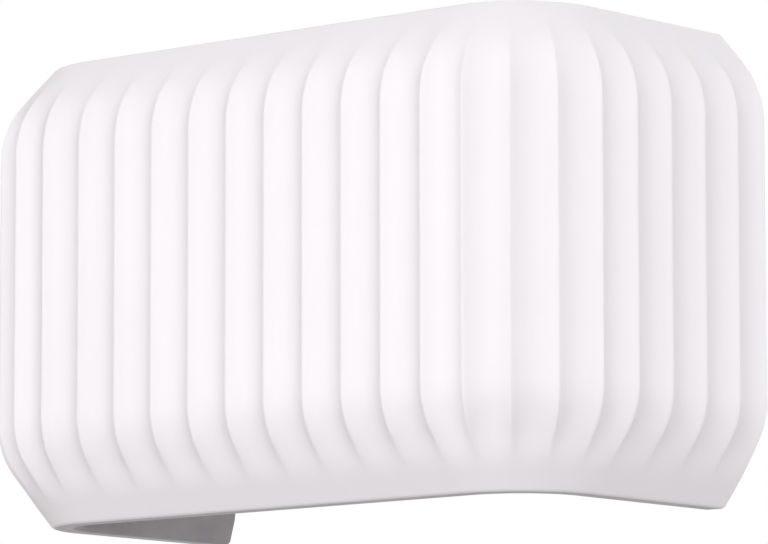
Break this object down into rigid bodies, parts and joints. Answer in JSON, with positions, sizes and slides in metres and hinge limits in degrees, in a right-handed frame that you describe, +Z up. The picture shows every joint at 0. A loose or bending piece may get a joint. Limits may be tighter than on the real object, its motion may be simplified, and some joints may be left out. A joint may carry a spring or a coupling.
{
  "type": "plaster wall light",
  "caption": "Wall light with a fluted, bow-sided plaster shade open above and below, hung on a steel wall plate that carries a sideways screw-in lamp.",
  "frame": {"origin": "middle of the wall plate's back face, on the wall plane", "axes": "+X to the right along the wall, +Y into the wall, +Z up; the fluted front faces -Y"},
  "size_m": [0.303, 0.136, 0.18],
  "materials": {
    "plaster": "matte",
    "white_paint": "satin",
    "zinc_steel": "satin",
    "brass": "satin",
    "holder_plastic": "satin",
    "holder_ceramic": "satin",
    "nickel": "satin",
    "lamp_black": "gloss",
    "lamp_plastic": "satin",
    "lamp_opal": "satin",
    "board_white": "satin",
    "led_phosphor": "satin",
    "block_nylon": "satin",
    "bush_black": "matte",
    "insulation_brown": "satin",
    "insulation_blue": "satin",
    "insulation_green_yellow": "satin",
    "sleeve_fibre": "matte"
  },
  "bodies": {
    "wall_frame": {"back_plate": "white_paint", "hook_bracket_right": "white_paint", "hook_bracket_left": "white_paint", "bracket_rivets": "zinc_steel", "cable_bush": "bush_black", "lampholder_arm": "white_paint", "arm_studs": "zinc_steel", "arm_washers": "zinc_steel", "arm_nuts": "zinc_steel", "holder_nipple": "zinc_steel", "nipple_washer": "zinc_steel", "nipple_nut": "zinc_steel", "holder_cap": "holder_plastic", "contact_block": "holder_ceramic", "holder_screws": "brass", "holder_skirt": "holder_plastic", "screw_shell": "brass", "centre_contact": "brass", "terminal_block": "block_nylon", "terminal_tubes": "brass", "terminal_screws": "zinc_steel", "block_studs": "zinc_steel", "block_nuts": "zinc_steel", "earth_stud": "zinc_steel", "earth_tag": "nickel", "earth_washer": "zinc_steel", "earth_nut": "zinc_steel", "lead_brown": "insulation_brown", "lead_blue": "insulation_blue", "lead_earth": "insulation_green_yellow", "lead_sleeve": "sleeve_fibre", "lead_ferrules": "nickel", "sleeve_clips": "block_nylon"},
    "shade": {"plaster_shade": "plaster", "hanger_right": "zinc_steel", "hanger_left": "zinc_steel", "hook_studs": "zinc_steel", "hanger_screws": "zinc_steel", "threaded_inserts": "brass"},
    "lamp": {"lamp_contact": "nickel", "lamp_insulator": "lamp_black", "lamp_cap": "nickel", "lamp_housing": "lamp_plastic", "lamp_dome": "lamp_opal", "lamp_board": "board_white", "lamp_leds": "led_phosphor"}
  },
  "joints": [
    {"name": "shade_lift", "type": "slide", "parent": "wall_frame", "child": "shade", "axis": [0, 0, 1], "range_m": [0, 0.008]},
    {"name": "lamp_unscrew", "type": "slide", "parent": "wall_frame", "child": "lamp", "axis": [1, 0, 0], "range_m": [0, 0.01448]}
  ]
}
